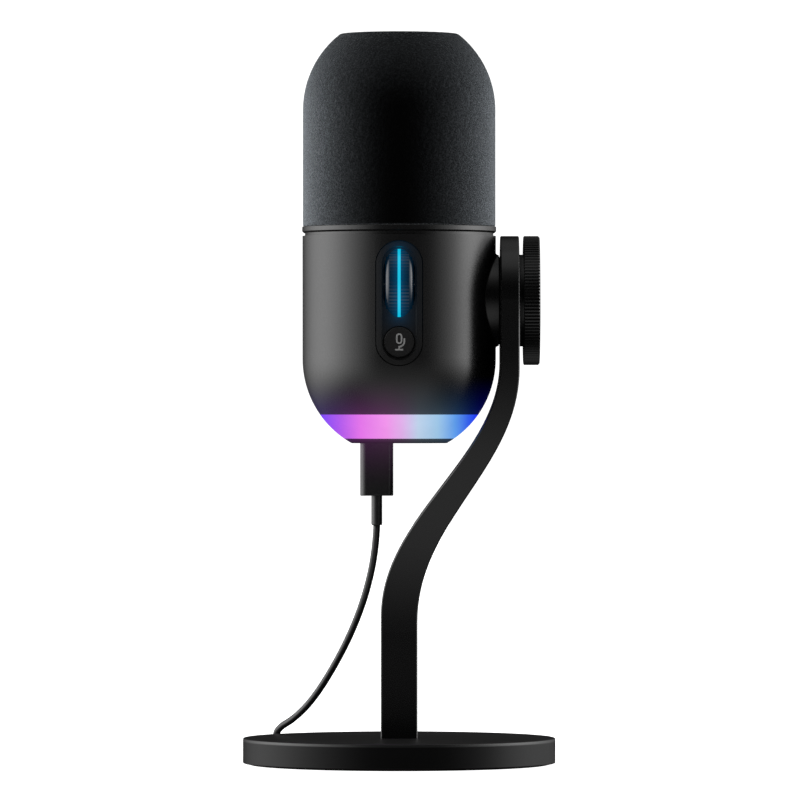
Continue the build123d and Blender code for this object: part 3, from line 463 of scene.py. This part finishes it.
def board_material():
    """Solder mask with faint copper traces under it."""
    material, n, links, shader = new_material("solder_mask")
    cells = n.new("ShaderNodeTexBrick")
    cells.inputs["Scale"].default_value = 220.0
    links.new(object_space(n), cells.inputs["Vector"])
    links.new(
        tinted(n, links, cells.outputs["Fac"], (0.006, 0.05, 0.025), (0.012, 0.10, 0.05)),
        shader.inputs["Base Color"],
    )
    shader.inputs["Roughness"].default_value = 0.35
    return material


def metal(name, colour, roughness):
    """Machined or plated metal."""
    return satin(name, colour, roughness, spread=0.06, grain=1800.0, depth=0.000004, metallic=1.0)


# How far the painted glow of the band and of the wheel's ring reaches, and the height of the base's rim
SHELL_PAINTED_GLOW_REACH = 0.0147
CAP_PAINTED_GLOW_REACH = 0.004
PLUG_PAINTED_GLOW_REACH = 0.018
WHEEL_PAINTED_GLOW_REACH = 0.0019
PANEL_PAINTED_GLOW_REACH = 0.0022
RIM_HEIGHT = 0.0011

arm_metal = satin("arm_coating", (0.0012, 0.0012, 0.0013), 0.27, grain=3500.0, depth=0.000004)
base_metal = satin("base_coating", (0.0022, 0.0022, 0.0023), 0.34, grain=3500.0, depth=0.000004)
polish_above(base_metal, base_high[2] - RIM_HEIGHT, 0.10, 0.50)
shell_plastic = satin("shell_plastic", (0.0026, 0.0026, 0.0028), 0.30, grain=3000.0, depth=0.000008)
cap_plastic = satin("cap_plastic", (0.0026, 0.0026, 0.0028), 0.32, grain=3000.0, depth=0.000008)
# Painted glow of the light band: emission on the shell above it, on the cap below it and on the plug.
add_painted_band_glow(shell_plastic, BODY_R * 0.85, band_high[2], band_high[2] + SHELL_PAINTED_GLOW_REACH, 0.30)
add_painted_band_glow(cap_plastic, BODY_R * 0.82, cap_high[2], cap_high[2] - CAP_PAINTED_GLOW_REACH, 0.32)
plug_plastic = satin("plug_plastic", (0.008, 0.008, 0.0083), 0.32, grain=2600.0, depth=0.00001)
add_painted_band_glow(plug_plastic, BODY_R * 0.82, plug_high[2], plug_high[2] - PLUG_PAINTED_GLOW_REACH, 0.20)

FINISHES = {
    "satin_metal": arm_metal,
    "knob": satin("knob_coating", (0.0022, 0.0022, 0.0023), 0.28, grain=3500.0, depth=0.000006),
    "steel": metal("plain_steel", (0.42, 0.42, 0.43), 0.35),
    "foot_rubber": satin("foot_rubber", (0.004, 0.004, 0.004), 0.85, specular=0.15),
    "screw_steel": metal("zinc_steel", (0.40, 0.40, 0.41), 0.3),
    "brass_part": metal("turned_brass", (0.60, 0.45, 0.20), 0.25),
    "washer_rubber": satin("washer_rubber", (0.004, 0.004, 0.004), 0.8, specular=0.2),
    "washer_plastic": satin("washer_plastic", (0.006, 0.006, 0.006), 0.4),
    "cord": satin("cord_jacket", (0.006, 0.006, 0.0062), 0.32, grain=2000.0, depth=0.00001),
    "tie": woven_material(),
    "plug": plug_plastic,
    "plug_metal": metal("nickel", (0.65, 0.63, 0.60), 0.22),
    "panel": satin("panel_plastic", (0.003, 0.003, 0.0032), 0.34, grain=3000.0, depth=0.000006),
    "light": diffuser_material(),
    "trim": satin("trim_coating", (0.0026, 0.0026, 0.0028), 0.28, grain=3000.0, depth=0.000006),
    "grille": metal("grille_coating", (0.05, 0.05, 0.05), 0.5),
    "inner_plastic": satin("inner_plastic", (0.03, 0.03, 0.03), 0.6),
    "diaphragm": metal("metal_film", (0.8, 0.72, 0.45), 0.12),
    "circuit_board": board_material(),
    "chips": satin("chip_epoxy", (0.012, 0.012, 0.012), 0.5),
    "led": satin("led_lens", (0.8, 0.8, 0.75), 0.2),
    "wheel": satin("wheel_plastic", (0.004, 0.004, 0.0043), 0.22, grain=2500.0, depth=0.000004),
    "wheel_light": lit_ring_material(),
    "button": satin("button_plastic", (0.0045, 0.0045, 0.0048), 0.40, grain=3000.0, depth=0.000006),
    "icon": satin("icon_print", (0.30, 0.30, 0.30), 0.5),
    "foam": foam_material(),
}

# Painted cyan glow of the wheel's ring, as emission on the wheel and on the panel round it.
add_painted_ring_glow(FINISHES["wheel"], 0.135, WHEEL_PAINTED_GLOW_REACH)
add_painted_ring_glow(FINISHES["panel"], 0.05, PANEL_PAINTED_GLOW_REACH, BAR_LOW_Z, BAR_HIGH_Z)

slot_of = {row["node"]: row["material_slot"] for row in frame["record"]["subparts"]}
OWN_FINISH = {"base_cover": base_metal, "body_shell": shell_plastic, "bottom_cap": cap_plastic}
for name, node in nodes.items():
    for material_slot in node.material_slots:
        material_slot.material = OWN_FINISH.get(name) or FINISHES[slot_of[name]]

lead.data.materials.append(FINISHES["cord"])

# ---------------------------------------------------------------- foam windscreen

FOAM_R = foam_high[0] - 0.00015
FOAM_DOME_Z = 0.2378
FOAM_EDGE_R = 0.0018
FOAM_STEP = 0.00055
FOAM_PORE = 0.00011
FOAM_THICKNESS = 0.0041
FOAM_TOP_THICKNESS = 0.0042


def foam_outline():
    """Radius and height from the bottom edge, up the wall and over the dome to the middle."""
    bottom_round = 0.0006
    outline = []
    for index in range(4):
        angle = math.radians(-90 + 30 * index)
        outline.append((
            FOAM_R - bottom_round + bottom_round * math.cos(angle),
            foam_low[2] + bottom_round + bottom_round * math.sin(angle),
        ))
    wall_steps = int((FOAM_DOME_Z - foam_low[2]) / FOAM_STEP)
    wall_start = foam_low[2] + bottom_round
    for index in range(1, wall_steps + 1):
        outline.append((FOAM_R, wall_start + (FOAM_DOME_Z - wall_start) * index / wall_steps))
    top_z = foam_high[2]
    edge_centre_z = top_z - FOAM_EDGE_R
    inner_r = FOAM_R - FOAM_EDGE_R
    edge_angle = math.asin((edge_centre_z - FOAM_DOME_Z) / inner_r)
    edge_centre_r = inner_r * math.cos(edge_angle)
    dome_steps = int(FOAM_R * edge_angle / FOAM_STEP)
    for index in range(1, dome_steps + 1):
        angle = edge_angle * index / dome_steps
        outline.append((FOAM_R * math.cos(angle), FOAM_DOME_Z + FOAM_R * math.sin(angle)))
    for index in range(1, 6):
        angle = edge_angle + (math.pi / 2 - edge_angle) * index / 5
        outline.append((
            edge_centre_r + FOAM_EDGE_R * math.cos(angle),
            edge_centre_z + FOAM_EDGE_R * math.sin(angle),
        ))
    flat_steps = int(edge_centre_r / FOAM_STEP)
    for index in range(1, flat_steps):
        outline.append((edge_centre_r * (1 - index / flat_steps), top_z))
    return outline


def foam_shell():
    """Closed shell of foam with an uneven, porous outer surface."""
    around = int(2 * math.pi * FOAM_R / FOAM_STEP)
    draw = random.Random(7)
    outline = foam_outline()
    vertices, faces = [], []
    for ring, (radius, height) in enumerate(outline):
        for side in range(around):
            angle = 2 * math.pi * (side + 0.5 * (ring % 2)) / around
            sink = FOAM_PORE * draw.random() ** 2
            near_top = min(1.0, radius / 0.006)
            out = radius - sink * near_top * math.sqrt(max(0.0, 1 - ((height - FOAM_DOME_Z) / FOAM_R) ** 2))
            down = sink if height > FOAM_DOME_Z else 0.0
            vertices.append((out * math.cos(angle), out * math.sin(angle), height - down * 0.7))
    for ring in range(len(outline) - 1):
        for side in range(around):
            first = ring * around + side
            second = ring * around + (side + 1) % around
            faces.append((first, second, second + around, first + around))
    top = len(vertices)
    vertices.append((0.0, 0.0, foam_high[2]))
    last = (len(outline) - 1) * around
    faces += [(last + side, last + (side + 1) % around, top) for side in range(around)]
    inner_top_z = foam_high[2] - FOAM_TOP_THICKNESS
    inner = [
        (FOAM_R - FOAM_THICKNESS, foam_low[2]),
        (FOAM_R - FOAM_THICKNESS, FOAM_DOME_Z),
        (FOAM_R - 0.0075, FOAM_DOME_Z + 0.0150),
        (0.0180, inner_top_z),
    ]
    start = len(vertices)
    for radius, height in inner:
        for side in range(around):
            angle = 2 * math.pi * side / around
            vertices.append((radius * math.cos(angle), radius * math.sin(angle), height))
    inner_top = len(vertices)
    vertices.append((0.0, 0.0, inner_top_z))
    for side in range(around):
        other = (side + 1) % around
        faces.append((side, start + side, start + other, other))
        for ring in range(len(inner) - 1):
            row = start + ring * around
            faces.append((row + side, row + around + side, row + around + other, row + other))
        row = start + (len(inner) - 1) * around
        faces.append((row + side, inner_top, row + other))
    return mesh_object("foam_cover", vertices, faces)


foam = foam_shell()
foam.data.materials.append(FINISHES["foam"])
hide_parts("foam_windscreen")
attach(foam, "microphone")

# ---------------------------------------------------------------- floor, world and lights


def add_floor():
    """Plain pale floor that only the camera sees."""
    size = 6.0
    floor = mesh_object(
        "floor",
        [(-size, -size, 0.0), (size, -size, 0.0), (size, size, 0.0), (-size, size, 0.0)],
        [(0, 1, 2, 3)],
        smooth=False,
    )
    floor.location.z = -0.0004
    material, n, links, shader = new_material("pale_floor")
    shader.inputs["Base Color"].default_value = (0.9, 0.9, 0.9, 1.0)
    shader.inputs["Roughness"].default_value = 0.9
    shader.inputs["Emission Color"].default_value = (1.0, 1.0, 1.0, 1.0)
    shader.inputs["Emission Strength"].default_value = 1.2
    floor.data.materials.append(material)
    floor.visible_diffuse = False
    floor.visible_glossy = False
    floor.visible_shadow = False


# Light by direction. Round the microphone, 0 is the front and 1 the back; by height, 0 is straight
# down, 0.5 the horizon and 1 straight up.
LEFT_LIGHT = [
    (0.0, 0.0), (0.08, 0.0), (0.15, 0.08), (0.21, 0.56), (0.264, 1.2), (0.339, 2.1), (0.417, 3.2),
    (0.505, 3.8), (0.611, 3.0), (0.717, 1.4), (0.828, 0.3), (1.0, 0.0),
]
RIGHT_LIGHT = [
    (0.0, 0.0), (0.15, 0.0), (0.22, 0.12), (0.27, 0.55), (0.33, 1.1), (0.394, 2.0),
    (0.48, 3.9), (0.578, 3.4), (0.694, 1.5), (0.828, 0.4), (1.0, 0.0),
]
LEFT_BY_HEIGHT = [
    (0.0, 0.0), (0.28, 0.05), (0.36, 0.20), (0.43, 0.72), (0.48, 1.0), (0.60, 1.0), (0.70, 0.45),
    (0.83, 0.08), (1.0, 0.0),
]
RIGHT_BY_HEIGHT = [
    (0.0, 0.0), (0.32, 0.01), (0.40, 0.12), (0.45, 0.5), (0.49, 1.0), (0.60, 1.05), (0.70, 0.45),
    (0.83, 0.08), (1.0, 0.0),
]
FRONT_BY_HEIGHT = [
    (0.10, 0.05), (0.18, 0.28), (0.222, 0.46), (0.28, 0.58), (0.33, 0.56), (0.38, 0.44), (0.43, 0.29),
    (0.465, 0.14), (0.49, 0.04), (0.52, 0.0),
]
TOP_BY_HEIGHT = [(0.66, 0.0), (0.78, 0.18), (0.9, 0.36), (1.0, 0.36)]
LIGHT_SCALE = 5.0


def curve_node(tree, value, stops):
    """Smooth value through these stops, each a position and a level."""
    ramp = tree.nodes.new("ShaderNodeValToRGB")
    ramp.color_ramp.interpolation = "CARDINAL"
    elements = ramp.color_ramp.elements
    while len(elements) < len(stops):
        elements.new(0.5)
    for element, (position, level) in zip(elements, stops):
        element.position = position
        element.color = (level / LIGHT_SCALE, level / LIGHT_SCALE, level / LIGHT_SCALE, 1.0)
    tree.links.new(value, ramp.inputs["Fac"])
    return math_node(tree, "MULTIPLY", ramp.outputs["Color"], LIGHT_SCALE)


def add_world():
    """White backdrop for the camera; soft light from both sides, the front below and the top."""
    world = bpy.data.worlds.new("studio")
    scene.world = world
    world.use_nodes = True
    tree = world.node_tree
    background = tree.nodes["Background"]
    split = tree.nodes.new("ShaderNodeSeparateXYZ")
    tree.links.new(tree.nodes.new("ShaderNodeTexCoord").outputs["Generated"], split.inputs["Vector"])
    across, depth, height = split.outputs
    turn = math_node(
        tree, "ARCTAN2", math_node(tree, "ABSOLUTE", across), math_node(tree, "MULTIPLY", depth, -1.0)
    )
    turn = math_node(tree, "DIVIDE", turn, math.pi)
    rise = math_node(tree, "ADD", math_node(tree, "DIVIDE", math_node(tree, "ARCSINE", height), math.pi), 0.5)
    on_right = math_node(tree, "GREATER_THAN", across, 0.0)
    on_left = math_node(tree, "SUBTRACT", 1.0, on_right)
    left = math_node(tree, "MULTIPLY", curve_node(tree, turn, LEFT_LIGHT), on_left)
    left = math_node(tree, "MULTIPLY", left, curve_node(tree, rise, LEFT_BY_HEIGHT))
    right = math_node(tree, "MULTIPLY", curve_node(tree, turn, RIGHT_LIGHT), on_right)
    right = math_node(tree, "MULTIPLY", right, curve_node(tree, rise, RIGHT_BY_HEIGHT))
    sides = math_node(tree, "ADD", left, right)
    frontal = tree.nodes.new("ShaderNodeMapRange")
    frontal.interpolation_type = "SMOOTHSTEP"
    frontal.inputs["From Min"].default_value = 0.42
    frontal.inputs["From Max"].default_value = 0.15
    tree.links.new(turn, frontal.inputs["Value"])
    front = math_node(tree, "MULTIPLY", frontal.outputs["Result"], curve_node(tree, rise, FRONT_BY_HEIGHT))
    total = math_node(tree, "ADD", sides, front)
    total = math_node(tree, "ADD", total, curve_node(tree, rise, TOP_BY_HEIGHT))
    total = math_node(tree, "ADD", total, 0.008)
    ray = tree.nodes.new("ShaderNodeLightPath")
    tone = tree.nodes.new("ShaderNodeMix")
    tone.data_type = "FLOAT"
    tone.inputs["B"].default_value = 1.2
    tree.links.new(ray.outputs["Is Camera Ray"], tone.inputs["Factor"])
    tree.links.new(total, tone.inputs["A"])
    tree.links.new(tone.outputs["Result"], background.inputs["Strength"])
    background.inputs["Color"].default_value = (1.0, 1.0, 1.0, 1.0)


def add_panel(name, place, size, power):
    """Square soft light that points at the microphone."""
    data = bpy.data.lights.new(name, "AREA")
    data.shape = "SQUARE"
    data.size = size
    data.energy = power
    light = bpy.data.objects.new(name, data)
    light.location = place
    light.rotation_euler = (Vector((0.0, 0.0, 0.13)) - light.location).to_track_quat("-Z", "Y").to_euler()
    scene.collection.objects.link(light)


add_floor()
add_world()
add_panel("top_panel", (0.0, -0.3, 1.5), 1.0, 0.8)
